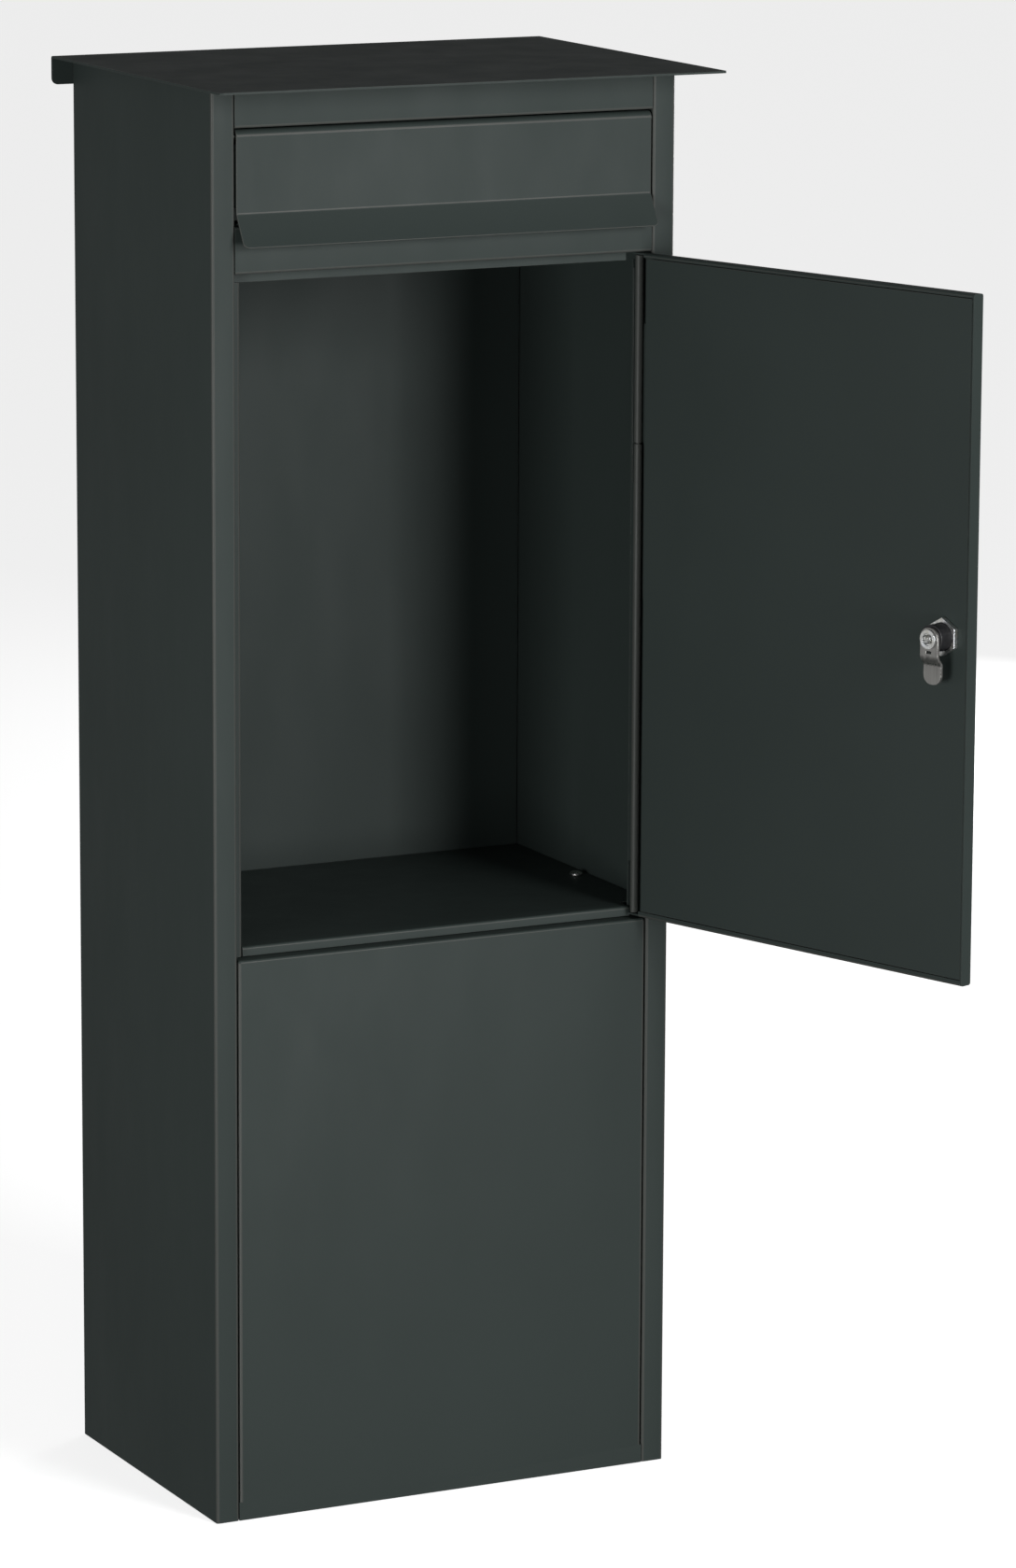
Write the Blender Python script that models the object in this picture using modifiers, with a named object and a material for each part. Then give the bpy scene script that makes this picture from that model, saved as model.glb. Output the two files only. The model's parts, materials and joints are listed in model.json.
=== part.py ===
"""Free-standing parcel drop box: a folded sheet-steel cabinet with a drop flap and a locking door.

Run with: blender --background --python part.py
Units are metres, +Z is up, the front faces -Y and the origin is the centre of the base.
The door stands open as modelled. Its pieces are laid out closed and then turned with their pivot.
"""
import math

import bmesh
import bpy
from mathutils import Matrix, Vector

MM = 0.001

# Cabinet
HEIGHT = 1000 * MM
HALF_WIDTH = 175 * MM
FRONT = -118.5 * MM
BACK = 118.5 * MM
SHEET = 1.5 * MM
BEND = 1.8 * MM
GAP = 0.3 * MM
SEAM = 1 * MM
STILE = 17 * MM
STILE_RETURN = 18.5 * MM
REAR_FLANGE = 20 * MM
TOP_FLANGE = 16.5 * MM
INSIDE = HALF_WIDTH - SHEET - 0.9 * MM

# Roof
ROOF_SIDE = 15 * MM
ROOF_FRONT = 48 * MM
ROOF_REAR = 2.5 * MM
ROOF_DROP = 20 * MM
STUD_RADIUS = 2.5 * MM
STUD_X = 168.5 * MM
STUD_YS = (-60 * MM, 80 * MM)

# Front openings, by height
TOP_RAIL_LOW = 970.8 * MM
LOWER_RAIL_TOP = 905 * MM
LOWER_RAIL_LOW = 872.5 * MM
STOP_HIGH = 866 * MM
PANEL_TOP = 400 * MM
PANEL_HALF_WIDTH = HALF_WIDTH - STILE - SEAM
FOOT_HEIGHT = 13 * MM
FLOOR_TOP = 407.3 * MM
STOP_DEPTH = 10 * MM
STOP_WIDTH = 8 * MM
JAMB_DEPTH = 14 * MM
STRIKE_END = -98.9 * MM
FLOOR_SCREW_X = 163 * MM
ANCHOR_X = 120 * MM
ANCHOR_YS = (-70 * MM, 80 * MM)
ANCHOR_RADIUS = 5 * MM

# Door
DOOR_SHEET = 1.2 * MM
DOOR_DEPTH = 9.5 * MM
DOOR_LOW = PANEL_TOP + 2.5 * MM
DOOR_HIGH = LOWER_RAIL_LOW - SEAM
DOOR_OPEN = math.radians(109)
HINGE_X = 151 * MM
HINGE_Y = FRONT + 4.9 * MM
HINGE_EDGE = HINGE_X + 4 * MM
FREE_EDGE = -HALF_WIDTH + STILE + 1.5 * MM
HINGE_SPLIT = 738 * MM
SPLIT_GAP = 0.8 * MM
KNUCKLE_RADIUS = 3 * MM
PIN_RADIUS = 1.8 * MM
LEAF_LOW = 629 * MM
LEAF_HIGH = 822 * MM
RIVET_X = 154.5 * MM
RIVET_ZS = (470 * MM, 640 * MM, 810 * MM)
RIVET_HOLE_RADIUS = 1.5 * MM
LINER_START = HINGE_X - 10.8 * MM

# Cam lock
LOCK_X = HINGE_X - 287.5 * MM
LOCK_Z = 640 * MM
BARREL_RADIUS = 9.5 * MM
PLUG_RADIUS = 6 * MM
NUT_FLATS = 23 * MM
NUT_THICKNESS = 3.5 * MM
BARREL_END = -95 * MM
CAM_THICKNESS = 2 * MM
CAM_HALF_WIDTH = 7.75 * MM
CAM_REACH = 31.5 * MM
CAM_JOG = 3.8 * MM

# Drop flap and the baffle that it drives
FLAP_HALF_WIDTH = HALF_WIDTH - STILE - 1.3 * MM
FLAP_ROLL = 4.7 * MM
FLAP_TOP = TOP_RAIL_LOW - SEAM
FLAP_Y = FRONT + FLAP_ROLL
FLAP_Z = FLAP_TOP - FLAP_ROLL
FLAP_BEND_Z = 913 * MM
LIP_REACH = 12.8 * MM
LIP_DROP = 21.3 * MM
ROD_RADIUS = 2.5 * MM
ROD_END = HALF_WIDTH - STILE + 1.9 * MM
BUMPER_X = 120 * MM
BUMPER_Z = 899 * MM
BUMPER_REACH = 4.2 * MM
BAFFLE_Y = -25 * MM
BAFFLE_Z = 975 * MM
BAFFLE_ROLL = 4 * MM
BAFFLE_LENGTH = 100 * MM
CRANK_LENGTH = 14 * MM
CRANK_TILT = math.radians(15)
CRANK_X = 160.2 * MM
CRANK_HALF_WIDTH = 3.1 * MM
CRANK_PIN_RADIUS = 1.5 * MM

ROUND = 20
HOLE_SIDES = 14
PLANES = {"XY": (0, 1, 2), "YZ": (1, 2, 0), "ZX": (2, 0, 1)}


# ---------------------------------------------------------------- scene and materials

def clear_scene():
    """Remove whatever the open file holds."""
    for obj in list(bpy.data.objects):
        bpy.data.objects.remove(obj, do_unlink=True)


def new_collection(name):
    """Return a new collection linked to the scene."""
    collection = bpy.data.collections.new(name)
    bpy.context.scene.collection.children.link(collection)
    return collection


def new_material(name, colour, roughness, metallic):
    """Return a plain Principled BSDF material."""
    material = bpy.data.materials.new(name)
    material.use_nodes = True
    shader = material.node_tree.nodes["Principled BSDF"]
    shader.inputs["Base Color"].default_value = (*colour, 1)
    shader.inputs["Roughness"].default_value = roughness
    shader.inputs["Metallic"].default_value = metallic
    material.diffuse_color = (*colour, 1)
    return material


def make_materials():
    """Return the object's materials by name."""
    return {
        "paint": new_material("powder_coat", (0.042, 0.052, 0.049), 0.5, 0.0),
        "zinc": new_material("zinc_plate", (0.62, 0.63, 0.64), 0.35, 1.0),
        "steel": new_material("stainless_steel", (0.55, 0.54, 0.52), 0.3, 1.0),
        "black": new_material("blackened_zinc", (0.02, 0.02, 0.022), 0.4, 0.8),
        "chrome": new_material("chrome", (0.8, 0.8, 0.8), 0.12, 1.0),
        "rubber": new_material("black_rubber", (0.02, 0.02, 0.02), 0.8, 0.0),
    }


# ---------------------------------------------------------------- pivots and placing

def new_pivot(name, place, parent=None):
    """Add an empty on a joint's axis, given by its place with every joint closed."""
    pivot = bpy.data.objects.new(name, None)
    pivot.empty_display_size = 20 * MM
    pivot.location = place
    if parent:
        pivot.parent = parent
        pivot.location = Vector(place) - parent.location
    PARTS.objects.link(pivot)
    return pivot


def place_of(pivot):
    """Return a pivot's place with every joint closed."""
    if pivot.parent:
        return pivot.location + pivot.parent.location
    return pivot.location


def attach(obj, pivot):
    """Parent an object to a pivot and keep it where it was laid out."""
    obj.parent = pivot
    obj.matrix_parent_inverse = Matrix.Translation(place_of(pivot)).inverted()


def add_object(name, data, material, pivot):
    """Link an object as a part, or as a hidden cutter where it has no material."""
    obj = bpy.data.objects.new(name, data)
    if material:
        data.materials.append(MATERIALS[material])
        PARTS.objects.link(obj)
    else:
        obj.hide_render = True
        obj.display_type = "WIRE"
        CUTTERS.objects.link(obj)
    if pivot:
        attach(obj, pivot)
    return obj


def add_mesh(name, bm, material, pivot):
    """Turn a bmesh into an object."""
    mesh = bpy.data.meshes.new(name)
    bm.to_mesh(mesh)
    bm.free()
    return add_object(name, mesh, material, pivot)


# ---------------------------------------------------------------- shapes

def box(name, low, high, material=None, pivot=None):
    """Add a block between two corners."""
    low, high = Vector(low), Vector(high)
    bm = bmesh.new()
    bmesh.ops.create_cube(bm, size=1)
    bmesh.ops.scale(bm, vec=high - low, verts=bm.verts)
    obj = add_mesh(name, bm, material, pivot)
    obj.location = (low + high) / 2
    return obj


def cylinder(name, start, end, radius, material=None, pivot=None, sides=ROUND):
    """Add a round bar, or a prism with few sides, from one point to another."""
    start, end = Vector(start), Vector(end)
    bm = bmesh.new()
    bmesh.ops.create_cone(bm, cap_ends=True, segments=sides, radius1=radius, radius2=radius,
                          depth=(end - start).length)
    obj = add_mesh(name, bm, material, pivot)
    obj.rotation_euler = (end - start).to_track_quat("Z", "Y").to_euler()
    obj.location = (start + end) / 2
    smooth(obj)
    return obj


def turned(name, start, axis, profile, material, pivot=None, sides=ROUND):
    """Add a turned piece; the profile is (radius, height) pairs, down the outside from the top."""
    bm = bmesh.new()
    verts = [bm.verts.new((radius, 0, height)) for radius, height in profile]
    closed = profile[0][0] > 0 and profile[-1][0] > 0
    ends = verts[1:] + verts[:1] if closed else verts[1:]
    for first, second in zip(verts, ends):
        bm.edges.new((first, second))
    obj = add_mesh(name, bm, material, pivot)
    obj.rotation_euler = Vector(axis).to_track_quat("Z", "Y").to_euler()
    obj.location = start
    screw = obj.modifiers.new("Turn", "SCREW")
    screw.steps = sides
    screw.render_steps = sides
    screw.use_merge_vertices = True
    screw.merge_threshold = 0.01 * MM
    return obj


def smooth(obj):
    """Shade the round faces smooth and keep the sharp edges."""
    obj.data.shade_smooth()
    obj.data.set_sharp_from_angle(angle=math.radians(35))


def rounded(path, bend, thickness, material_left):
    """Replace each inner corner of an open path by an arc as a folded sheet has it."""
    points = [Vector(path[0])]
    for before, corner, after in zip(path, path[1:], path[2:]):
        corner = Vector(corner)
        way_in = (corner - Vector(before)).normalized()
        way_out = (Vector(after) - corner).normalized()
        cross = way_in.x * way_out.y - way_in.y * way_out.x
        turn = math.atan2(cross, way_in.dot(way_out))
        radius = bend if (turn > 0) == material_left else bend - thickness
        reach = radius * math.tan(abs(turn) / 2)
        start = corner - way_in * reach
        side = math.copysign(1, turn)
        centre = start + Vector((-way_in.y, way_in.x)) * radius * side
        steps = max(2, round(math.degrees(abs(turn)) / 18))
        arm = start - centre
        arc = [centre + Matrix.Rotation(turn * step / steps, 2) @ arm for step in range(steps + 1)]
        if (arc[0] - points[-1]).length < 0.01 * MM:
            arc.pop(0)
        points += arc
    points.append(Vector(path[-1]))
    return points


def thicken(obj, thickness):
    """Give an open sheet its thickness behind its outer face."""
    solid = obj.modifiers.new("Sheet", "SOLIDIFY")
    solid.thickness = thickness
    solid.offset = -1
    solid.use_even_offset = True


def folded(name, plane, path, span, material, pivot=None, thickness=SHEET, bend=BEND,
           material_left=True, start_round=0.0, end_round=0.0):
    """Add a folded sheet whose outer face follows a path in a plane, over a span across it.

    start_round and end_round are the corner radii at the path's first and last edges.
    """
    first, second, across = PLANES[plane]
    points = rounded(path, bend, thickness, material_left)
    bm = bmesh.new()
    rows = []
    for point in points:
        row = []
        for reach in span:
            place = [0, 0, 0]
            place[first], place[second], place[across] = point.x, point.y, reach
            row.append(bm.verts.new(place))
        rows.append(row)
    for near, far in zip(rows, rows[1:]):
        bm.faces.new((near[0], far[0], far[1], near[1]))
    if not material_left:
        bmesh.ops.reverse_faces(bm, faces=bm.faces)
    for row, radius in ((rows[0], start_round), (rows[-1], end_round)):
        if radius:
            bmesh.ops.bevel(bm, geom=row, offset=radius, segments=5, profile=0.5,
                            affect="VERTICES", clamp_overlap=True)
    obj = add_mesh(name, bm, material, pivot)
    thicken(obj, thickness)
    smooth(obj)
    return obj


def link_bar(name, points, x_low, x_high, half_width, hole_radius, material, pivot):
    """Add a flat bar with round ends along X's normal plane, with a hole at each listed point."""
    tail, head = (Vector(point[:2]) for point in points)
    heading = math.atan2(head.y - tail.y, head.x - tail.x)
    curve = bpy.data.curves.new(name, "CURVE")
    curve.dimensions = "2D"
    curve.fill_mode = "BOTH"
    curve.extrude = (x_high - x_low) / 2
    arc = 8
    outline = []
    for centre, begin in ((head, heading - math.pi / 2), (tail, heading + math.pi / 2)):
        for step in range(arc + 1):
            angle = begin + math.pi * step / arc
            outline.append(centre + half_width * Vector((math.cos(angle), math.sin(angle))))
    add_loop(curve, outline)
    for point in points:
        if point[2]:
            centre = Vector(point[:2])
            ring = [centre + hole_radius * Vector((math.cos(a), math.sin(a)))
                    for a in (math.tau * k / HOLE_SIDES for k in range(HOLE_SIDES))]
            add_loop(curve, ring)
    obj = add_object(name, curve, material, pivot)
    obj.rotation_euler = (math.pi / 2, 0, math.pi / 2)
    obj.location = ((x_low + x_high) / 2, 0, 0)
    return obj


def add_loop(curve, points):
    """Add a closed straight-edged loop to a 2D curve."""
    spline = curve.splines.new("POLY")
    spline.points.add(len(points) - 1)
    for slot, point in zip(spline.points, points):
        slot.co = (point.x, point.y, 0, 1)
    spline.use_cyclic_u = True


def boolean(obj, tool, operation="DIFFERENCE"):
    """Cut an object with a hidden tool, or join the tool to it."""
    modifier = obj.modifiers.new(tool.name, "BOOLEAN")
    modifier.operation = operation
    modifier.object = tool


def join(obj, tool):
    """Join a hidden tool's shape to an object."""
    boolean(obj, tool, "UNION")


def drill(obj, name, start, end, radius, pivot=None):
    """Drill a round hole through an object."""
    boolean(obj, cylinder(name, start, end, radius, pivot=pivot, sides=HOLE_SIDES))


def mirrored(path):
    """Mirror a path in the XY plane to the other side."""
    return [(-x, y) for x, y in path]


# ---------------------------------------------------------------- cabinet

def make_side_shells():
    """Side panels, each folded into a front stile with its return and a rear flange."""
    path = [(-HALF_WIDTH + STILE, FRONT + STILE_RETURN), (-HALF_WIDTH + STILE, FRONT),
            (-HALF_WIDTH, FRONT), (-HALF_WIDTH, BACK), (-HALF_WIDTH + REAR_FLANGE, BACK)]
    top = HEIGHT - SHEET - GAP
    for name, side in (("side_shell_left", -1), ("side_shell_right", 1)):
        left = side < 0
        shell = folded(name, "XY", path if left else mirrored(path), (0, top), "paint",
                       material_left=not left)
        outer = side * (HALF_WIDTH - SHEET / 2)
        inner = side * (HALF_WIDTH - TOP_FLANGE)
        join(shell, box(name + "_top_flange", (min(outer, inner), -90 * MM, top - SHEET),
                        (max(outer, inner), 105 * MM, top)))
        for index, y in enumerate(STUD_YS):
            drill(shell, f"{name}_stud_hole_{index + 1}", (side * STUD_X, y, top - 5 * MM),
                  (side * STUD_X, y, top + 5 * MM), STUD_RADIUS + GAP)
        stile_edge = side * (HALF_WIDTH - STILE)
        drill(shell, name + "_flap_hole", (stile_edge - 5 * MM, FLAP_Y, FLAP_Z),
              (stile_edge + 5 * MM, FLAP_Y, FLAP_Z), ROD_RADIUS + GAP)


def make_rear_wall():
    """Flat rear wall welded to the inside of the side shells' rear flanges."""
    outer = BACK - SHEET - GAP
    box("rear_wall", (-INSIDE, outer - SHEET, 0), (INSIDE, outer, HEIGHT - SHEET - GAP), "paint")


def make_roof():
    """Overhanging roof sheet with a rear drip flange and four weld studs."""
    half = HALF_WIDTH + ROOF_SIDE
    rear = BACK + ROOF_REAR
    path = [(FRONT - ROOF_FRONT, HEIGHT), (rear, HEIGHT), (rear, HEIGHT - ROOF_DROP)]
    roof = folded("roof", "YZ", path, (-half, half), "paint", material_left=False,
                  start_round=3 * MM, end_round=4.5 * MM)
    nut_high = HEIGHT - 2 * SHEET - 2 * GAP - GAP
    for side in (-1, 1):
        for y in STUD_YS:
            number = len([o for o in PARTS.objects if o.name.startswith("roof_nut")]) + 1
            stud_low = nut_high - 6 * MM
            join(roof, cylinder(f"roof_stud_{number}", (side * STUD_X, y, stud_low),
                                (side * STUD_X, y, HEIGHT - SHEET / 2), STUD_RADIUS, sides=16))
            nut = cylinder(f"roof_nut_{number}", (side * STUD_X, y, nut_high - 4 * MM),
                           (side * STUD_X, y, nut_high), 4.6 * MM, "zinc", sides=6)
            drill(nut, f"roof_nut_bore_{number}", (side * STUD_X, y, stud_low),
                  (side * STUD_X, y, HEIGHT), STUD_RADIUS + GAP)


def make_rails():
    """Rails across the front: above the flap, and between the flap and the door."""
    half = HALF_WIDTH - STILE - GAP
    top = HEIGHT - SHEET - GAP
    folded("top_rail", "YZ", [(FRONT + 20 * MM, top), (FRONT, top), (FRONT, TOP_RAIL_LOW),
                              (FRONT + 13 * MM, TOP_RAIL_LOW)], (-half, half), "paint")
    stop = FRONT + STOP_DEPTH
    rail = folded("lower_rail", "YZ",
                  [(FRONT + 18 * MM, LOWER_RAIL_TOP), (FRONT, LOWER_RAIL_TOP),
                   (FRONT, LOWER_RAIL_LOW), (stop, LOWER_RAIL_LOW), (stop, STOP_HIGH)],
                  (-half, half), "paint")
    clear = HINGE_X - 8 * MM
    boolean(rail, box("lower_rail_hinge_notch", (clear, stop - 1 * MM, STOP_HIGH - 5 * MM),
                      (half + 5 * MM, stop + 5 * MM, LOWER_RAIL_LOW - GAP)))


def make_jambs():
    """Strike strip on the lock side and jamb on the hinge side, behind the closed door."""
    edge = HALF_WIDTH - STILE - GAP
    inner = HALF_WIDTH - STILE - STOP_WIDTH
    span = (PANEL_TOP + GAP, STOP_HIGH - GAP)
    stop = FRONT + STOP_DEPTH
    folded("strike_strip", "XY", [(-edge, stop + 9 * MM), (-edge, stop), (-inner, stop),
                                  (-inner, STRIKE_END)], span, "paint")
    face = FRONT + JAMB_DEPTH
    jamb = folded("hinge_jamb", "XY", [(inner + 0.5 * MM, face), (edge, face), (edge, face + 9 * MM)],
                  span, "paint")
    for number, z in enumerate(RIVET_ZS, 1):
        drill(jamb, f"hinge_jamb_hole_{number}", (RIVET_X, face - 3 * MM, z),
              (RIVET_X, face + 5 * MM, z), RIVET_HOLE_RADIUS)


def make_floor():
    """Compartment floor with its front edge turned down as a sill, on two side ledges."""
    half = INSIDE
    stop = FRONT + STOP_DEPTH
    rear = BACK - 2 * SHEET - 2 * GAP
    floor = folded("compartment_floor", "YZ", [(rear, FLOOR_TOP), (stop, FLOOR_TOP),
                                               (stop, PANEL_TOP + 0.6 * MM)], (-half, half), "paint")
    tongue = HALF_WIDTH - STILE - STOP_WIDTH - GAP
    for name, side in (("left", -1), ("right", 1)):
        low_x, high_x = sorted((side * tongue, side * (half + 5 * MM)))
        boolean(floor, box(f"floor_{name}_corner", (low_x, stop - 5 * MM, PANEL_TOP - 5 * MM),
                           (high_x, FRONT + 24 * MM, FLOOR_TOP + 5 * MM)))
        screw_x = side * FLOOR_SCREW_X
        make_ledge(name, side, screw_x)
        drill(floor, f"floor_{name}_screw_hole", (screw_x, 0, FLOOR_TOP - 5 * MM),
              (screw_x, 0, FLOOR_TOP + 5 * MM), 2.8 * MM)
        turned(f"floor_screw_{name}", (screw_x, 0, FLOOR_TOP + GAP), (0, 0, 1),
               [(0, 2.4 * MM), (3.4 * MM, 2.2 * MM), (4.6 * MM, 1.2 * MM), (4.6 * MM, 0),
                (2.5 * MM, 0), (2.5 * MM, -10 * MM), (0, -11 * MM)], "zinc")


def make_ledge(name, side, screw_x):
    """Angle welded to a side panel, which the floor rests on."""
    top = FLOOR_TOP - SHEET - GAP
    outer = HALF_WIDTH - SHEET - GAP
    path = [(top, side * 150 * MM), (top, side * outer), (top - 20 * MM, side * outer)]
    ledge = folded(f"floor_ledge_{name}", "ZX", path, (-90 * MM, 105 * MM), "paint",
                   material_left=side > 0)
    drill(ledge, f"floor_ledge_{name}_hole", (screw_x, 0, top - 5 * MM),
          (screw_x, 0, top + 5 * MM), 2.8 * MM)


def make_lower_panel():
    """Lower front panel: a sheet folded back along its top and sides, with a foot on each side."""
    half = PANEL_HALF_WIDTH
    bm = bmesh.new()
    bmesh.ops.create_cube(bm, size=1)
    depth = 14.5 * MM
    bmesh.ops.scale(bm, vec=(2 * half, depth, PANEL_TOP), verts=bm.verts)
    bmesh.ops.translate(bm, vec=(0, FRONT + depth / 2, PANEL_TOP / 2), verts=bm.verts)
    open_faces = [f for f in bm.faces if f.normal.y > 0.9 or f.normal.z < -0.9]
    bmesh.ops.delete(bm, geom=open_faces, context="FACES_ONLY")
    folds = [e for e in bm.edges if len(e.link_faces) == 2]
    bmesh.ops.bevel(bm, geom=folds, offset=BEND, segments=5, profile=0.5, affect="EDGES")
    panel = add_mesh("lower_front_panel", bm, "paint", None)
    thicken(panel, SHEET)
    smooth(panel)
    for name, side in (("left", -1), ("right", 1)):
        low_x, high_x = sorted((side * (half - 2 * BEND), side * (HALF_WIDTH - STILE - GAP)))
        join(panel, box(f"panel_{name}_foot", (low_x, FRONT, 0), (high_x, FRONT + SHEET, FOOT_HEIGHT)))


def make_base():
    """Base plate turned up along its front and rear edges, with four anchor holes."""
    half = INSIDE
    front = FRONT + SHEET + GAP
    rear = BACK - 2 * SHEET - 2 * GAP
    plate = folded("base_plate", "YZ", [(front, 22 * MM), (front, 0), (rear, 0), (rear, 22 * MM)],
                   (-half, half), "paint")
    tongue = PANEL_HALF_WIDTH - SHEET - 1.3 * MM
    for name, side in (("left", -1), ("right", 1)):
        low_x, high_x = sorted((side * tongue, side * (half + 5 * MM)))
        boolean(plate, box(f"base_{name}_corner", (low_x, front - 5 * MM, -5 * MM),
                           (high_x, FRONT + 19 * MM, 30 * MM)))
        for index, y in enumerate(ANCHOR_YS):
            drill(plate, f"base_{name}_anchor_{index + 1}", (side * ANCHOR_X, y, -5 * MM),
                  (side * ANCHOR_X, y, 5 * MM), ANCHOR_RADIUS)


# ---------------------------------------------------------------- drop chute and baffle mounts

def make_chute():
    """Sloping sheet that carries mail from the slot into the compartment."""
    high = LOWER_RAIL_TOP + SHEET + GAP
    half = HALF_WIDTH - STILE - 0.5 * MM
    folded("drop_chute", "YZ", [(FRONT + 3 * MM, high), (FRONT + 19 * MM, high), (-22 * MM, 868 * MM)],
           (-half, half), "paint", material_left=False)


def make_baffle_brackets():
    """Angles under the roof that carry the baffle's rod."""
    top = HEIGHT - SHEET - GAP
    outer = HALF_WIDTH - STILE
    for name, side in (("left", -1), ("right", 1)):
        path = [(top, side * 140 * MM), (top, side * outer), (BAFFLE_Z - 9 * MM, side * outer)]
        bracket = folded(f"baffle_bracket_{name}", "ZX", path,
                         (BAFFLE_Y - 10 * MM, BAFFLE_Y + 10 * MM), "zinc",
                         material_left=side > 0, end_round=6 * MM)
        drill(bracket, f"baffle_bracket_{name}_hole", (side * outer - 5 * MM, BAFFLE_Y, BAFFLE_Z),
              (side * outer + 5 * MM, BAFFLE_Y, BAFFLE_Z), ROD_RADIUS + GAP)


def make_baffle_spring():
    """Torsion spring round the baffle rod, which closes the baffle and the flap."""
    turns, per_turn, coil, wire = 4, 12, 4 * MM, 0.6 * MM
    start_x, pitch = -161 * MM, 2 * MM
    curve = bpy.data.curves.new("baffle_spring", "CURVE")
    curve.dimensions = "3D"
    curve.bevel_depth = wire
    curve.bevel_resolution = 0
    curve.use_fill_caps = True
    count = turns * per_turn + 1
    places = []
    for step in range(count):
        angle = math.tau * step / per_turn
        places.append((start_x - pitch * step / per_turn, BAFFLE_Y + coil * math.cos(angle),
                       BAFFLE_Z + coil * math.sin(angle)))
    places.insert(0, (start_x, BAFFLE_Y + coil, BAFFLE_Z - 12 * MM))
    places.append((start_x - pitch * turns, BAFFLE_Y + coil, BAFFLE_Z + 12 * MM))
    spline = curve.splines.new("POLY")
    spline.points.add(len(places) - 1)
    for slot, place in zip(spline.points, places):
        slot.co = (*place, 1)
    add_object("baffle_spring", curve, "steel", None)


# ---------------------------------------------------------------- hinge

def make_hinge():
    """Fixed hinge pin and lower knuckle, whose leaf is riveted to the hinge jamb."""
    low, high = DOOR_LOW + DOOR_SHEET + 0.5 * MM, DOOR_HIGH - DOOR_SHEET - 0.5 * MM
    axis = (HINGE_X, HINGE_Y)
    cylinder("hinge_pin", (*axis, low), (*axis, high), PIN_RADIUS, "paint")
    leaf = cylinder("frame_hinge_leaf", (*axis, low), (*axis, HINGE_SPLIT), KNUCKLE_RADIUS, "paint")
    plate_back = FRONT + JAMB_DEPTH - GAP
    web = 0.6 * MM
    join(leaf, box("frame_leaf_web", (HINGE_X - web, HINGE_Y + 2.5 * MM, 440 * MM),
                   (HINGE_X + web, plate_back - 0.5 * MM, 710 * MM)))
    join(leaf, box("frame_leaf_plate", (HINGE_X - web, plate_back - SHEET, 440 * MM),
                   (HALF_WIDTH - STILE - 2 * GAP, plate_back, 860 * MM)))
    drill(leaf, "frame_leaf_bore", (*axis, 0), (*axis, 1), PIN_RADIUS + GAP)
    for number, z in enumerate(RIVET_ZS, 1):
        drill(leaf, f"frame_leaf_hole_{number}", (RIVET_X, plate_back - 5 * MM, z),
              (RIVET_X, plate_back + 5 * MM, z), RIVET_HOLE_RADIUS)
        turned(f"frame_hinge_rivet_{number}", (RIVET_X, plate_back - SHEET - GAP, z), (0, -1, 0),
               [(0, 0.6 * MM), (1.6 * MM, 0.5 * MM), (2.2 * MM, 0), (1.2 * MM, 0),
                (1.2 * MM, -6 * MM), (0, -6 * MM)], "zinc", sides=12)


def make_door_leaf(pivot):
    """Upper knuckle that turns on the pin, with the leaf that is welded inside the door skin."""
    high = DOOR_HIGH - DOOR_SHEET - 0.5 * MM
    axis = (HINGE_X, HINGE_Y)
    leaf = cylinder("door_hinge_leaf", (*axis, HINGE_SPLIT + SPLIT_GAP), (*axis, high), KNUCKLE_RADIUS,
                    "paint", pivot)
    outer = FRONT + DOOR_SHEET + GAP
    inner = outer + DOOR_SHEET
    join(leaf, box("door_leaf_plate", (HINGE_X - 31 * MM, outer, LEAF_LOW),
                   (HINGE_X - KNUCKLE_RADIUS - GAP, inner, LEAF_HIGH), pivot=pivot))
    join(leaf, box("door_leaf_neck", (HINGE_X - 5 * MM, outer, HINGE_SPLIT + SPLIT_GAP),
                   (HINGE_X, inner, LEAF_HIGH), pivot=pivot))
    drill(leaf, "door_leaf_bore", (*axis, 0), (*axis, 1), PIN_RADIUS + GAP, pivot)


# ---------------------------------------------------------------- door

def make_door_skin(pivot):
    """Outer door sheet folded back along its top, bottom and free edge."""
    inner = FRONT + DOOR_DEPTH
    path = [(inner, DOOR_HIGH - 2.6 * MM), (inner, DOOR_HIGH), (FRONT, DOOR_HIGH),
            (FRONT, DOOR_LOW), (inner, DOOR_LOW), (inner, DOOR_LOW + 3.9 * MM)]
    skin = folded("door_skin", "YZ", path, (FREE_EDGE, HINGE_EDGE), "paint", pivot,
                  thickness=DOOR_SHEET, bend=1.7 * MM)
    edge_low, edge_high = DOOR_LOW + 1 * MM, DOOR_HIGH - 1 * MM
    join(skin, box("door_free_flange", (FREE_EDGE, FRONT + DOOR_SHEET / 2, edge_low),
                   (FREE_EDGE + DOOR_SHEET, inner, edge_high), pivot=pivot))
    clear = HINGE_X - 8 * MM
    boolean(skin, box("door_lip_end", (clear, inner - 2 * MM, DOOR_LOW - 5 * MM),
                      (HINGE_EDGE + 5 * MM, inner + 5 * MM, DOOR_HIGH + 5 * MM), pivot=pivot))
    drill(skin, "door_skin_lock_hole", (LOCK_X, FRONT - 5 * MM, LOCK_Z),
          (LOCK_X, FRONT + 5 * MM, LOCK_Z), BARREL_RADIUS + GAP, pivot)


def make_door_liner(pivot):
    """Flat inner sheet that closes the door's pan."""
    inner = FRONT + DOOR_DEPTH
    liner = box("door_liner", (FREE_EDGE + DOOR_SHEET + GAP, inner - DOOR_SHEET, DOOR_LOW + 4.4 * MM),
                (LINER_START, inner, DOOR_HIGH - 3.1 * MM), "paint", pivot)
    drill(liner, "door_liner_lock_hole", (LOCK_X, inner - 5 * MM, LOCK_Z),
          (LOCK_X, inner + 5 * MM, LOCK_Z), BARREL_RADIUS + GAP, pivot)


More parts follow.
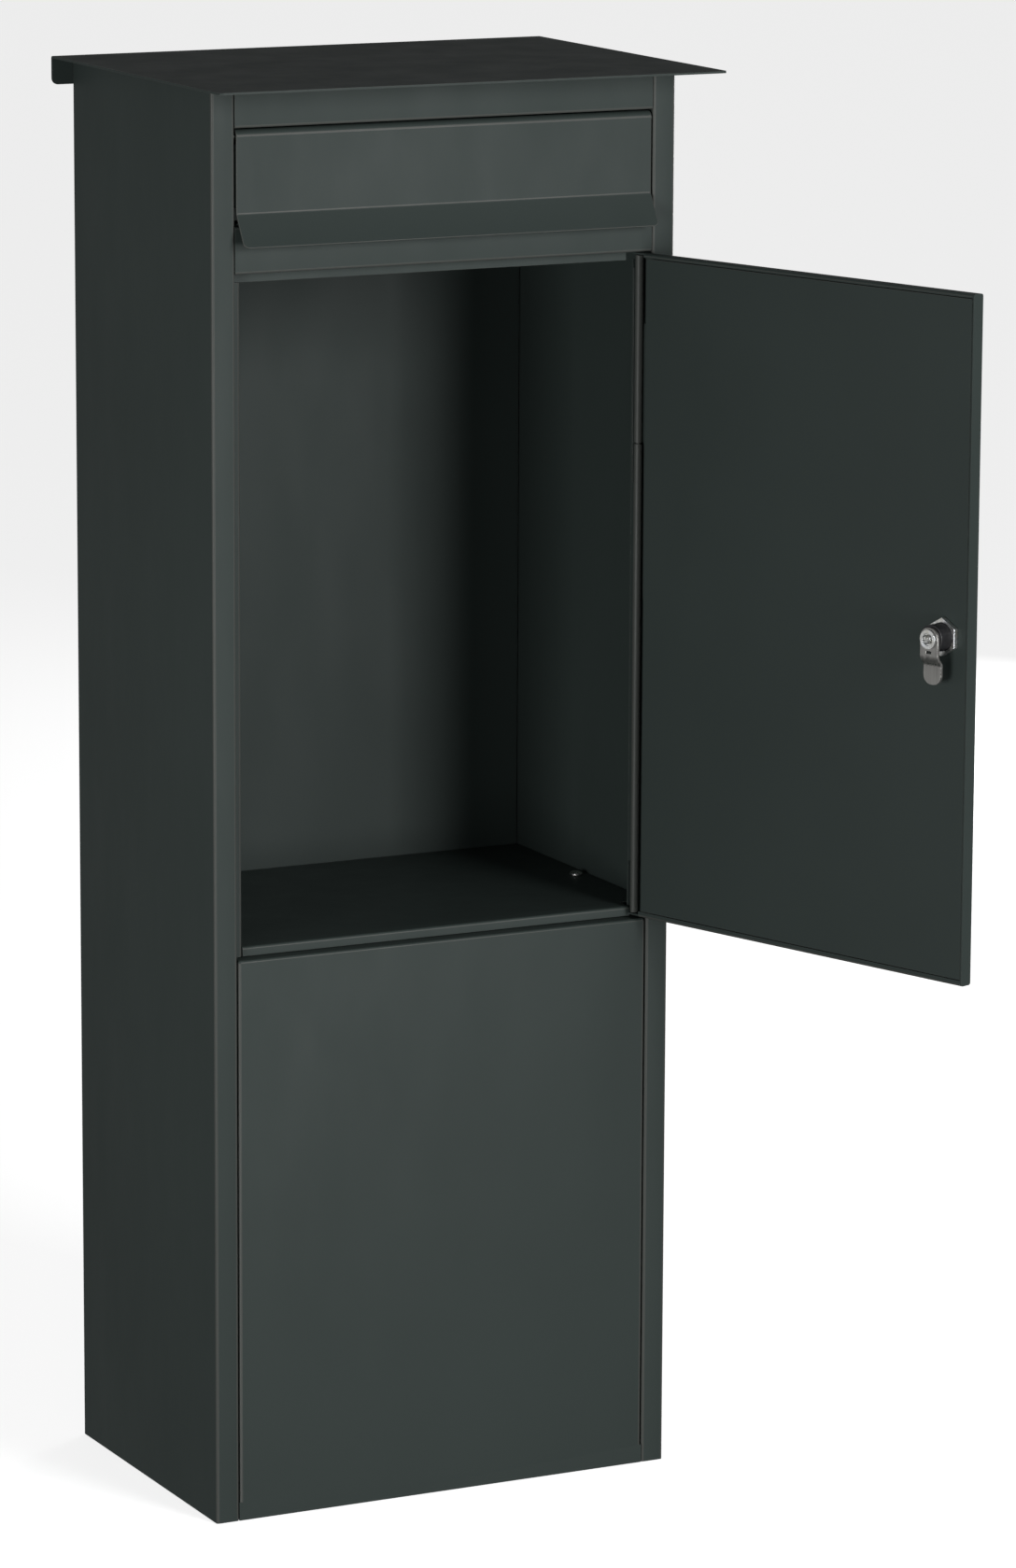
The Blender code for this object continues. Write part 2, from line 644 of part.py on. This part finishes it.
# ---------------------------------------------------------------- cam lock

def make_lock_body(pivot):
    """Lock barrel through the door, with its bezel in front and its hexagon nut inside."""
    front = FRONT - GAP
    centre = (LOCK_X, front, LOCK_Z)
    length = BARREL_END - front
    bore = PLUG_RADIUS + GAP
    turned("lock_barrel", centre, (0, -1, 0),
           [(11 * MM, 2 * MM), (12 * MM, 1 * MM), (12 * MM, 0), (BARREL_RADIUS, 0),
            (BARREL_RADIUS, -length), (bore, -length), (bore, 2 * MM)], "black", pivot)
    inner = FRONT + DOOR_DEPTH + GAP
    nut = cylinder("lock_nut", (LOCK_X, inner, LOCK_Z), (LOCK_X, inner + NUT_THICKNESS, LOCK_Z),
                   NUT_FLATS / math.sqrt(3), "zinc", pivot, sides=6)
    drill(nut, "lock_nut_bore", (LOCK_X, inner - 5 * MM, LOCK_Z),
          (LOCK_X, inner + 9 * MM, LOCK_Z), BARREL_RADIUS + GAP, pivot)


def make_lock_plug(pivot):
    """Key plug with its key slot, and the square tail that turns the cam."""
    front = FRONT - 2.6 * MM
    plug = cylinder("lock_plug", (LOCK_X, front, LOCK_Z), (LOCK_X, BARREL_END, LOCK_Z),
                    PLUG_RADIUS, "chrome", pivot)
    tail = 3.5 * MM
    tail_end = BARREL_END + GAP + CAM_THICKNESS
    join(plug, box("lock_plug_tail", (LOCK_X - tail, BARREL_END - 2 * MM, LOCK_Z - tail),
                   (LOCK_X + tail, tail_end, LOCK_Z + tail), pivot=pivot))
    boolean(plug, box("lock_key_slot", (LOCK_X - 0.6 * MM, front - 1 * MM, LOCK_Z - 4 * MM),
                      (LOCK_X + 0.6 * MM, front + 6 * MM, LOCK_Z + 4 * MM), pivot=pivot))
    drill(plug, "lock_plug_thread", (LOCK_X, tail_end - 9 * MM, LOCK_Z),
          (LOCK_X, tail_end + 5 * MM, LOCK_Z), 2.3 * MM, pivot)


def make_cam(pivot):
    """Jogged cam that swings behind the strike strip, with its recessed washer and screw."""
    seat = BARREL_END + GAP
    outer = seat + CAM_THICKNESS
    jog_start, jog_end = LOCK_Z - 13.5 * MM, LOCK_Z - 17.5 * MM
    path = [(outer, LOCK_Z + CAM_HALF_WIDTH), (outer, jog_start), (outer - CAM_JOG, jog_end),
            (outer - CAM_JOG, LOCK_Z - CAM_REACH)]
    cam = folded("lock_cam", "YZ", path, (LOCK_X - CAM_HALF_WIDTH, LOCK_X + CAM_HALF_WIDTH), "steel",
                 pivot, thickness=CAM_THICKNESS, bend=5 * MM, material_left=False,
                 start_round=7 * MM, end_round=6.5 * MM)
    hole = 3.8 * MM
    slot = 2.1 * MM
    for name, half_x, low, high in (("cam_square_hole", hole, LOCK_Z - hole, LOCK_Z + hole),
                                    ("cam_slot", slot, LOCK_Z - 9.8 * MM, LOCK_Z - 8.2 * MM)):
        boolean(cam, box(name, (LOCK_X - half_x, seat - 5 * MM, low),
                         (LOCK_X + half_x, outer + 5 * MM, high), pivot=pivot))
    washer_seat = outer + GAP
    turned("cam_washer", (LOCK_X, washer_seat, LOCK_Z), (0, 1, 0),
           [(6.7 * MM, 1.3 * MM), (6.7 * MM, 0), (2.3 * MM, 0), (2.3 * MM, 0.7 * MM),
            (4.2 * MM, 0.7 * MM), (4.2 * MM, 1.3 * MM)], "zinc", pivot)
    head_seat = washer_seat + 0.7 * MM + GAP
    screw = turned("cam_screw", (LOCK_X, head_seat, LOCK_Z), (0, 1, 0),
                   [(0, 2.5 * MM), (2.2 * MM, 2.3 * MM), (3.2 * MM, 1.3 * MM), (3.2 * MM, 0),
                    (1.9 * MM, 0), (1.9 * MM, -9 * MM), (0, -9.5 * MM)], "zinc", pivot)
    for name, half_x, half_z in (("cam_screw_slot_1", 2.2 * MM, 0.5 * MM),
                                 ("cam_screw_slot_2", 0.5 * MM, 2.2 * MM)):
        boolean(screw, box(name, (LOCK_X - half_x, head_seat + 1 * MM, LOCK_Z - half_z),
                           (LOCK_X + half_x, head_seat + 4 * MM, LOCK_Z + half_z), pivot=pivot))


# ---------------------------------------------------------------- drop flap and linkage

def make_flap(pivot):
    """Drop flap rolled over its rod at the top, with an outward lip to lift it by."""
    back = FRONT + 2 * FLAP_ROLL
    path = [(back, FLAP_Z - 6 * MM), (back, FLAP_TOP), (FRONT, FLAP_TOP), (FRONT, FLAP_BEND_Z),
            (FRONT - LIP_REACH, FLAP_BEND_Z - LIP_DROP)]
    flap = folded("drop_flap", "YZ", path, (-FLAP_HALF_WIDTH, FLAP_HALF_WIDTH), "paint", pivot,
                  thickness=DOOR_SHEET, bend=FLAP_ROLL, end_round=4 * MM)
    for name, side in (("left", -1), ("right", 1)):
        outer = side * FLAP_HALF_WIDTH
        inner = outer - side * DOOR_SHEET
        join(flap, box(f"flap_{name}_flange", (min(outer, inner), FRONT + 0.6 * MM, FLAP_BEND_Z + 4 * MM),
                       (max(outer, inner), FRONT + 6.5 * MM, FLAP_Z - 5 * MM), pivot=pivot))
    cylinder("flap_rod", (-ROD_END - 3 * MM, FLAP_Y, FLAP_Z), (ROD_END, FLAP_Y, FLAP_Z), ROD_RADIUS,
             "paint", pivot, sides=16)


def make_flap_bumpers():
    """Rubber buttons on the lower rail, which the flap's lip closes against."""
    for name, side in (("left", -1), ("right", 1)):
        x = side * BUMPER_X
        cylinder(f"flap_bumper_{name}", (x, FRONT - BUMPER_REACH, BUMPER_Z),
                 (x, FRONT - GAP, BUMPER_Z), 4 * MM, "rubber", sides=16)


def crank_point(y, z):
    """Return the crank pin's place for a rod at (y, z)."""
    return y + CRANK_LENGTH * math.sin(CRANK_TILT), z + CRANK_LENGTH * math.cos(CRANK_TILT)


def make_crank(name, y, z, pivot):
    """Crank on a rod's end, with the headed pin that the link turns on."""
    pin_y, pin_z = crank_point(y, z)
    link_bar(name, ((y, z, False), (pin_y, pin_z, True)), CRANK_X, CRANK_X + SHEET,
             CRANK_HALF_WIDTH, CRANK_PIN_RADIUS + GAP, "zinc", pivot)
    head = CRANK_X + 2 * SHEET + 3 * GAP
    turned(name + "_pin", (head, pin_y, pin_z), (1, 0, 0),
           [(0, 1 * MM), (2.4 * MM, 0.9 * MM), (2.8 * MM, 0), (CRANK_PIN_RADIUS, 0),
            (CRANK_PIN_RADIUS, CRANK_X - head), (0, CRANK_X - head)], "zinc", pivot, sides=16)


def make_baffle(pivot):
    """Baffle that swings down behind the slot while the flap is lifted, with its rod."""
    half = HALF_WIDTH - STILE - 2.5 * MM
    front, top = BAFFLE_Y - BAFFLE_ROLL, BAFFLE_Z + BAFFLE_ROLL
    tip = BAFFLE_Y + BAFFLE_LENGTH
    folded("anti_theft_baffle", "YZ", [(front, BAFFLE_Z - 6 * MM), (front, top), (tip, top),
                                       (tip, top - 9 * MM)], (-half, half), "paint", pivot,
           thickness=DOOR_SHEET, bend=BAFFLE_ROLL, material_left=False)
    cylinder("baffle_rod", (-ROD_END - 12 * MM, BAFFLE_Y, BAFFLE_Z), (ROD_END, BAFFLE_Y, BAFFLE_Z),
             ROD_RADIUS, "zinc", pivot, sides=16)
    clip = -ROD_END - 11 * MM
    turned("baffle_rod_clip", (clip, BAFFLE_Y, BAFFLE_Z), (-1, 0, 0),
           [(5 * MM, 0.5 * MM), (5 * MM, 0), (ROD_RADIUS + GAP, 0), (ROD_RADIUS + GAP, 0.5 * MM)],
           "steel", pivot)


def make_link(pivot):
    """Link that turns the baffle with the flap."""
    points = (*crank_point(FLAP_Y, FLAP_Z), True), (*crank_point(BAFFLE_Y, BAFFLE_Z), True)
    x_low = CRANK_X + SHEET + 2 * GAP
    link_bar("link_rod", points, x_low, x_low + SHEET, 3.4 * MM, CRANK_PIN_RADIUS + GAP, "zinc", pivot)


# ---------------------------------------------------------------- assembly

def make_cabinet():
    """Everything that stays still."""
    make_side_shells()
    make_rear_wall()
    make_roof()
    make_rails()
    make_jambs()
    make_floor()
    make_lower_panel()
    make_base()
    make_chute()
    make_baffle_brackets()
    make_baffle_spring()
    make_flap_bumpers()
    make_hinge()


def make_door():
    """Door and cam lock, laid out closed and then opened about the hinge."""
    door_pivot = new_pivot("door_pivot", (HINGE_X, HINGE_Y, 0))
    lock_pivot = new_pivot("lock_pivot", (LOCK_X, FRONT, LOCK_Z), door_pivot)
    make_door_skin(door_pivot)
    make_door_liner(door_pivot)
    make_door_leaf(door_pivot)
    make_lock_body(door_pivot)
    make_lock_plug(lock_pivot)
    make_cam(lock_pivot)
    door_pivot.rotation_euler.z = DOOR_OPEN


def make_inlet():
    """Flap, baffle and the link between them."""
    flap_pivot = new_pivot("flap_pivot", (0, FLAP_Y, FLAP_Z))
    baffle_pivot = new_pivot("baffle_pivot", (0, BAFFLE_Y, BAFFLE_Z))
    link_pivot = new_pivot("link_pivot", (0, *crank_point(FLAP_Y, FLAP_Z)), flap_pivot)
    make_flap(flap_pivot)
    make_crank("flap_crank", FLAP_Y, FLAP_Z, flap_pivot)
    make_baffle(baffle_pivot)
    make_crank("baffle_crank", BAFFLE_Y, BAFFLE_Z, baffle_pivot)
    make_link(link_pivot)


clear_scene()
PARTS = new_collection("parcel_drop_box")
CUTTERS = new_collection("cutters")
MATERIALS = make_materials()
make_cabinet()
make_door()
make_inlet()
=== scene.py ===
"""Looks of the parcel drop box: finishes, fine edges, studio, lights and camera."""

import json
import math

import bmesh
import bpy
from mathutils import Matrix, Vector


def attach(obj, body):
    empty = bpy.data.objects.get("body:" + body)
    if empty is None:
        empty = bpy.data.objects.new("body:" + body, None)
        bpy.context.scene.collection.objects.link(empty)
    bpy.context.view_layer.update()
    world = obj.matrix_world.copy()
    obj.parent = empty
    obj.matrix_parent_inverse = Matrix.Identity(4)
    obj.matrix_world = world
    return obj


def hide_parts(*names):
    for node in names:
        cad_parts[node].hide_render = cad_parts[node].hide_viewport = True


MM = 0.001
IMAGE_HEIGHT = 1679

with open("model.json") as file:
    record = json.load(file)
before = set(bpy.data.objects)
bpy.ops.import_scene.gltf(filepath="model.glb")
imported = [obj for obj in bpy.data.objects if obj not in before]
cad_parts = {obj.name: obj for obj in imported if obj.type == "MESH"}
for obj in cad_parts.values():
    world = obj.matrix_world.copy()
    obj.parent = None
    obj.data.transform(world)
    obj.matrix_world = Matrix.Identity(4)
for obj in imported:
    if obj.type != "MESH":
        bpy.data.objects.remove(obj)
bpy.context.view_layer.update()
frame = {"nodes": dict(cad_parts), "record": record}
NODES = frame["nodes"]
BODY_OF = {node: body for body, members in frame["record"]["behaviour"]["bodies"].items()
           for node in members}
SLOT_OF = {row["node"]: row["material_slot"] for row in frame["record"]["subparts"]}


# ---------------------------------------------------------------- node helpers

class Shader:
    """A material's node tree with a Principled shader and short calls to add nodes."""

    def __init__(self, name, base, roughness, metallic=0.0, specular=0.5):
        self.material = bpy.data.materials.new(name)
        self.material.use_nodes = True
        self.tree = self.material.node_tree
        self.shader = self.tree.nodes["Principled BSDF"]
        self.coordinates = self.tree.nodes.new("ShaderNodeTexCoord")
        self.height = None
        self.set("Base Color", (*base, 1))
        self.set("Roughness", roughness)
        self.set("Metallic", metallic)
        self.set("Specular IOR Level", specular)
        self.material.diffuse_color = (*base, 1)

    def set(self, socket, value):
        """Give one of the shader's own sockets a constant."""
        self.shader.inputs[socket].default_value = value

    def link(self, source, target):
        """Join an output to an input."""
        self.tree.links.new(source, target)

    def noise(self, scale, stretch=(1, 1, 1), detail=3.0, roughness=0.5):
        """Return a noise texture's value over the object, stretched along its axes."""
        mapping = self.tree.nodes.new("ShaderNodeMapping")
        mapping.inputs["Scale"].default_value = stretch
        self.link(self.coordinates.outputs["Object"], mapping.inputs["Vector"])
        texture = self.tree.nodes.new("ShaderNodeTexNoise")
        texture.inputs["Scale"].default_value = scale
        texture.inputs["Detail"].default_value = detail
        texture.inputs["Roughness"].default_value = roughness
        self.link(mapping.outputs["Vector"], texture.inputs["Vector"])
        return texture.outputs["Fac"]

    def remap(self, value, low, high, start=0.3, stop=0.7):
        """Return a value spread from low to high."""
        node = self.tree.nodes.new("ShaderNodeMapRange")
        node.inputs["From Min"].default_value = start
        node.inputs["From Max"].default_value = stop
        node.inputs["To Min"].default_value = low
        node.inputs["To Max"].default_value = high
        self.link(value, node.inputs["Value"])
        return node.outputs["Result"]

    def vary_colour(self, value, first, second):
        """Blend the base colour between two tones."""
        node = self.tree.nodes.new("ShaderNodeMix")
        node.data_type = "RGBA"
        colour_a = next(s for s in node.inputs if s.name == "A" and s.type == "RGBA")
        colour_b = next(s for s in node.inputs if s.name == "B" and s.type == "RGBA")
        colour_a.default_value = (*first, 1)
        colour_b.default_value = (*second, 1)
        self.link(value, node.inputs["Factor"])
        result = next(s for s in node.outputs if s.type == "RGBA")
        self.link(result, self.shader.inputs["Base Color"])

    def bump(self, value, strength, distance):
        """Add a layer of bump on top of the layers before it."""
        node = self.tree.nodes.new("ShaderNodeBump")
        node.inputs["Strength"].default_value = strength
        node.inputs["Distance"].default_value = distance
        self.link(value, node.inputs["Height"])
        if self.height:
            self.link(self.height, node.inputs["Normal"])
        self.height = node.outputs["Normal"]
        self.link(self.height, self.shader.inputs["Normal"])


def tone(colour, factor):
    """Return a colour made lighter or darker."""
    return tuple(min(1, channel * factor) for channel in colour)


def powder_coat(name, base, roughness):
    """Satin fine-texture powder coat: orange peel, slow gloss changes and faint handling marks."""
    paint = Shader(name, base, roughness, specular=PAINT_SPECULAR)
    broad = paint.noise(5, detail=4)
    paint.vary_colour(paint.remap(broad, 0, 1), tone(base, 0.95), tone(base, 1.05))
    marks = paint.noise(28, stretch=(1, 1, 0.35), detail=6, roughness=0.6)
    paint.link(paint.remap(marks, roughness - 0.05, roughness + 0.05),
               paint.shader.inputs["Roughness"])
    paint.bump(paint.noise(420, detail=2), 0.16, 0.25 * MM)
    paint.bump(paint.noise(1700, detail=2), 0.12, 0.08 * MM)
    return paint.material


def plated(name, base, roughness, tint):
    """Zinc plate: a fine grain and faint tint from the passivation."""
    metal = Shader(name, base, roughness, metallic=1.0)
    metal.vary_colour(metal.remap(metal.noise(160, detail=3), 0, 1), base, tint)
    metal.link(metal.remap(metal.noise(700, detail=4), roughness - 0.08, roughness + 0.1),
               metal.shader.inputs["Roughness"])
    metal.bump(metal.noise(1500, detail=3), 0.1, 0.05 * MM)
    return metal.material


def brushed(name, base, roughness, stretch):
    """Stainless steel with a fine grain along the stretched axis."""
    metal = Shader(name, base, roughness, metallic=1.0)
    grain = metal.noise(900, stretch=stretch, detail=3)
    metal.vary_colour(metal.remap(grain, 0, 1), tone(base, 0.86), tone(base, 1.08))
    metal.link(metal.remap(grain, roughness - 0.1, roughness + 0.12),
               metal.shader.inputs["Roughness"])
    metal.bump(grain, 0.25, 0.04 * MM)
    return metal.material


def polished(name, base, roughness):
    """Chrome plate with faint wipe marks."""
    metal = Shader(name, base, roughness, metallic=1.0)
    metal.link(metal.remap(metal.noise(300, detail=5), roughness, roughness + 0.12),
               metal.shader.inputs["Roughness"])
    metal.bump(metal.noise(400, detail=1), 0.04, 0.05 * MM)
    return metal.material


def cast_black(name, base, roughness):
    """Blackened die casting with a slightly rubbed surface."""
    metal = Shader(name, base, roughness, metallic=0.6)
    metal.vary_colour(metal.remap(metal.noise(220, detail=4), 0, 1), base, tone(base, 1.8))
    metal.link(metal.remap(metal.noise(500, detail=3), roughness - 0.08, roughness + 0.12),
               metal.shader.inputs["Roughness"])
    metal.bump(metal.noise(1300, detail=2), 0.15, 0.05 * MM)
    return metal.material


def soft_rubber(name, base, roughness):
    """Matte rubber with a fine bloom."""
    rubber = Shader(name, base, roughness, specular=0.3)
    rubber.vary_colour(rubber.remap(rubber.noise(350, detail=4), 0, 1), base, tone(base, 1.6))
    rubber.link(rubber.remap(rubber.noise(600), roughness - 0.06, roughness + 0.06),
                rubber.shader.inputs["Roughness"])
    rubber.bump(rubber.noise(1200, detail=3), 0.2, 0.06 * MM)
    return rubber.material


# ---------------------------------------------------------------- materials

PAINT_SPECULAR = 0.2
PAINT = (0.0335, 0.0445, 0.0415)
# Lighter paint tone used as a painted highlight on fold arcs and eased edges
PAINT_HIGHLIGHT = (0.066, 0.071, 0.066)
ZINC = (0.78, 0.80, 0.83)
STEEL = (0.36, 0.355, 0.34)

MATERIALS = {
    "powder_coat": powder_coat("powder_coat_satin", PAINT, 0.54),
    "zinc_plate": plated("zinc_plate_bright", ZINC, 0.32, (0.63, 0.62, 0.55)),
    "stainless_steel": brushed("stainless_brushed", STEEL, 0.46, (1, 1, 0.04)),
    "blackened_zinc": cast_black("zinc_blackened", (0.022, 0.022, 0.024), 0.42),
    "chrome": polished("chrome_plate", (0.78, 0.78, 0.79), 0.1),
    "black_rubber": soft_rubber("rubber_black", (0.02, 0.02, 0.02), 0.75),
}
# Lighter, glossier copies of each finish: painted highlights laid on fold arcs and eased edges
HIGHLIGHT_FINISHES = {
    "powder_coat": powder_coat("powder_coat_painted_highlight", PAINT_HIGHLIGHT, 0.42),
    "zinc_plate": plated("zinc_plate_painted_highlight", tone(ZINC, 1.15), 0.26, tone(ZINC, 1.2)),
    "stainless_steel": brushed("stainless_painted_highlight", tone(STEEL, 1.3), 0.28, (1, 1, 1)),
    "blackened_zinc": cast_black("zinc_blackened_painted_highlight", (0.06, 0.06, 0.062), 0.34),
    "chrome": polished("chrome_painted_highlight", (0.86, 0.86, 0.87), 0.08),
    "black_rubber": soft_rubber("rubber_painted_highlight", (0.03, 0.03, 0.03), 0.7),
}


# ---------------------------------------------------------------- pieces

BEND_LENGTH = 8 * MM
FACET_WIDTH = 1.8 * MM
FACET_TURN_LOW = math.radians(5)
FACET_TURN_HIGH = math.radians(30)
# Fold facets whose normal points up more than this get no painted highlight
FACET_UPWARD = 0.35
WELD_DISTANCE = 0.002 * MM
FLAT_ANGLE = math.radians(0.6)
BEVEL_SEGMENTS = 2
BEVEL_ANGLE = math.radians(38)


def clean_copy(node):
    """Return a bmesh of a CAD node with its split corners welded and its flat faces joined."""
    bm = bmesh.new()
    bm.from_mesh(NODES[node].data)
    bmesh.ops.remove_doubles(bm, verts=bm.verts, dist=WELD_DISTANCE)
    bmesh.ops.dissolve_limit(bm, angle_limit=FLAT_ANGLE, verts=bm.verts, edges=bm.edges)
    return bm


def gets_painted_highlight(face):
    """Say whether a face takes the painted highlight: a narrow facet of a fold's arc that isn't turned
    up to the sky.
    """
    longest = max(edge.calc_length() for edge in face.edges)
    if longest < BEND_LENGTH or face.calc_area() / longest > FACET_WIDTH:
        return False
    if face.normal.z > FACET_UPWARD:
        return False
    turns = [edge.calc_face_angle(0.0) for edge in face.edges if edge.calc_length() > BEND_LENGTH]
    return any(FACET_TURN_LOW < turn < FACET_TURN_HIGH for turn in turns)


def add_piece(name, bm, slot, body):
    """Turn a bmesh into a visual piece that rides on a CAD body, with a painted highlight (a lighter
    copy of its finish) on its folds.
    """
    for face in bm.faces:
        # fold facets get material 1, the painted highlight
        face.material_index = 1 if gets_painted_highlight(face) else 0
    mesh = bpy.data.meshes.new(name)
    bm.to_mesh(mesh)
    bm.free()
    mesh.materials.append(MATERIALS[slot])
    # slot 1 holds the painted highlight copy of the finish
    mesh.materials.append(HIGHLIGHT_FINISHES[slot])
    obj = bpy.data.objects.new(name, mesh)
    bpy.context.scene.collection.objects.link(obj)
    obj.data.shade_smooth()
    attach(obj, body)
    return obj


def ease_edges(obj, width):
    """Round a piece's sharp edges and paint a highlight on them with the lighter highlight finish."""
    bevel = obj.modifiers.new("Eased edges", "BEVEL")
    bevel.width = width
    bevel.segments = BEVEL_SEGMENTS
    bevel.limit_method = "ANGLE"
    bevel.angle_limit = BEVEL_ANGLE
    bevel.harden_normals = True
    bevel.use_clamp_overlap = True
    # the bevel faces take material 1, the painted highlight
    bevel.material = 1
    obj.data.set_sharp_from_angle(angle=BEVEL_ANGLE)


def refine(node, width):
    """Replace a CAD node by a copy of it with eased edges, and return the copy."""
    piece = add_piece(node + "_finish", clean_copy(node), SLOT_OF[node], BODY_OF[node])
    ease_edges(piece, width)
    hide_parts(node)
    return piece


def keep(node):
    """Keep a CAD node as it is, with its finish."""
    data = NODES[node].data
    data.materials.clear()
    data.materials.append(MATERIALS[SLOT_OF[node]])


SHEET_EDGE = 0.25 * MM
SMALL_EDGE = 0.15 * MM
FLAP_EDGE = 0.5 * MM
KEPT = {"baffle_spring"}
SMALL = {"lock_plug", "cam_washer", "cam_screw", "frame_hinge_rivet_1", "frame_hinge_rivet_2",
         "frame_hinge_rivet_3", "flap_crank_pin", "baffle_crank_pin", "baffle_rod_clip", "hinge_pin",
         "floor_screw_left", "floor_screw_right"}

for node_name in sorted(NODES):
    if node_name in KEPT:
        keep(node_name)
    elif node_name in SMALL:
        refine(node_name, SMALL_EDGE)
    elif node_name == "drop_flap":
        refine(node_name, FLAP_EDGE)
    else:
        refine(node_name, SHEET_EDGE)


# ---------------------------------------------------------------- studio

def area_light(name, place, target, size, power):
    """Add a square softbox that faces a point."""
    data = bpy.data.lights.new(name, "AREA")
    data.size = size
    data.energy = power
    light = bpy.data.objects.new(name, data)
    light.location = place
    light.rotation_euler = (Vector(target) - Vector(place)).to_track_quat("-Z", "Y").to_euler()
    bpy.context.scene.collection.objects.link(light)


def make_floor():
    """Plain pale floor, which neither lights the object nor is mirrored in its paint."""
    bm = bmesh.new()
    bmesh.ops.create_grid(bm, x_segments=1, y_segments=1, size=FLOOR_HALF)
    bmesh.ops.translate(bm, vec=(0, 0, -FLOOR_DROP), verts=bm.verts)
    mesh = bpy.data.meshes.new("floor")
    bm.to_mesh(mesh)
    bm.free()
    floor = bpy.data.objects.new("floor", mesh)
    bpy.context.scene.collection.objects.link(floor)
    pale = Shader("floor_pale", (0.9, 0.9, 0.9), 0.9, specular=0.0)
    pale.set("Emission Color", (1, 1, 1, 1))
    pale.set("Emission Strength", FLOOR_GLOW)
    mesh.materials.append(pale.material)
    floor.visible_glossy = False
    floor.visible_diffuse = False


def make_world():
    """Dim white light from all round, a little stronger from behind the object."""
    world = bpy.data.worlds.new("studio")
    world.use_nodes = True
    tree = world.node_tree
    background = tree.nodes["Background"]
    background.inputs["Color"].default_value = (1, 1, 1, 1)
    coordinates = tree.nodes.new("ShaderNodeTexCoord")
    split = tree.nodes.new("ShaderNodeSeparateXYZ")
    ramp = tree.nodes.new("ShaderNodeMapRange")
    ramp.inputs["From Min"].default_value = -WORLD_BLEND
    ramp.inputs["From Max"].default_value = WORLD_BLEND
    ramp.inputs["To Min"].default_value = WORLD_FRONT
    ramp.inputs["To Max"].default_value = WORLD_BACK
    tree.links.new(coordinates.outputs["Generated"], split.inputs["Vector"])
    tree.links.new(split.outputs["Y"], ramp.inputs["Value"])
    tree.links.new(ramp.outputs["Result"], background.inputs["Strength"])
    bpy.context.scene.world = world


def make_camera():
    """Camera at the photograph's viewpoint, from the calibrated rotation and focal length."""
    data = bpy.data.cameras.new("camera")
    data.sensor_fit = "VERTICAL"
    data.sensor_height = SENSOR_HEIGHT
    data.lens = FOCAL_PIXELS / IMAGE_HEIGHT * data.sensor_height
    data.clip_end = CLIP_END
    camera = bpy.data.objects.new("camera", data)
    right, down, forward = (Vector(row) for row in CAMERA_ROWS)
    rotation = Matrix((right, -down, -forward)).transposed()
    camera.matrix_world = Matrix.Translation(CAMERA_PLACE) @ rotation.to_4x4()
    bpy.context.scene.collection.objects.link(camera)
    bpy.context.scene.camera = camera


FLOOR_HALF = 60
FLOOR_DROP = 0.5 * MM
FLOOR_GLOW = 0.72
WORLD_FRONT = 0.1
WORLD_BACK = 0.17
WORLD_BLEND = 0.3
FOCAL_PIXELS = 7137.45
SENSOR_HEIGHT = 36
CLIP_END = 200
CAMERA_PLACE = (-1.9823, -4.1781, 1.4374)
CAMERA_ROWS = ((0.89475, -0.44655, 0.00461), (-0.0857, -0.18185, -0.97958),
               (0.43827, 0.87609, -0.20098))

make_floor()
make_world()
make_camera()
area_light("key_softbox", (0.72, -2.25, 1.45), (0, -0.1, 0.6), 0.75, 23)
area_light("low_softbox", (0.7, -3.0, 0.5), (-0.05, 0.1, 0.62), 0.8, 31)
area_light("left_softbox", (-2.2, -1.5, 0.5), (0.2, -0.3, 0.6), 0.9, 32)
area_light("lock_card", (-2.1, 0.54, 0.3), (0.25, -0.38, 0.64), 0.9, 1.7)
area_light("back_softbox", (2.5, 1.9, 0.46), (0, 0, 0.5), 0.9, 30)
bpy.context.scene.view_settings.view_transform = "Standard"
